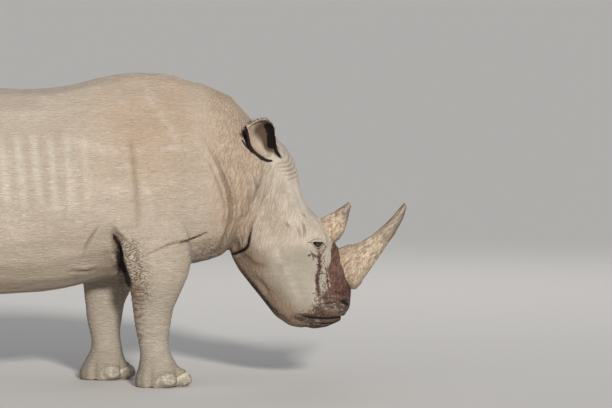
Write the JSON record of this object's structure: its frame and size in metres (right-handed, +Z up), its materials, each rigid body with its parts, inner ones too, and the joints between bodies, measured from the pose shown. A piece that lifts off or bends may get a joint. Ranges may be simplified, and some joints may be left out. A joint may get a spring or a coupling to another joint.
{
  "type": "white rhinoceros",
  "caption": "Life-size still model of a white rhinoceros standing with its head lowered as if to drink, for display and for scale.",
  "frame": {"origin": "on the ground, under the middle of the bounding box", "axes": "+X forwards along the animal, +Y to its left, +Z up"},
  "size_m": [3.4518, 0.9914, 1.7161],
  "materials": {
    "hide": "dry, dusty, finely wrinkled skin",
    "horn": "fibrous keratin, worn dark and smooth at the tip",
    "nail": "dull, scuffed keratin",
    "eye": "wet, dark brown",
    "hair": "coarse dark hair"
  },
  "bodies": {
    "root": {"barrel": "hide", "ear_left": "hide", "ear_right": "hide", "eye_left": "eye", "eye_right": "eye", "fore_left_foot": "hide", "fore_left_forearm": "hide", "fore_left_nail_inner": "nail", "fore_left_nail_middle": "nail", "fore_left_nail_outer": "nail", "fore_left_shank": "hide", "fore_right_foot": "hide", "fore_right_forearm": "hide", "fore_right_nail_inner": "nail", "fore_right_nail_middle": "nail", "fore_right_nail_outer": "nail", "fore_right_shank": "hide", "front_horn": "horn", "head": "hide", "hind_left_foot": "hide", "hind_left_gaskin": "hide", "hind_left_nail_inner": "nail", "hind_left_nail_middle": "nail", "hind_left_nail_outer": "nail", "hind_left_shank": "hide", "hind_right_foot": "hide", "hind_right_gaskin": "hide", "hind_right_nail_inner": "nail", "hind_right_nail_middle": "nail", "hind_right_nail_outer": "nail", "hind_right_shank": "hide", "hindquarters": "hide", "lower_jaw": "hide", "neck": "hide", "rear_horn": "horn", "shoulders": "hide", "tail": "hide", "tail_tuft": "hair"}
  },
  "joints": []
}
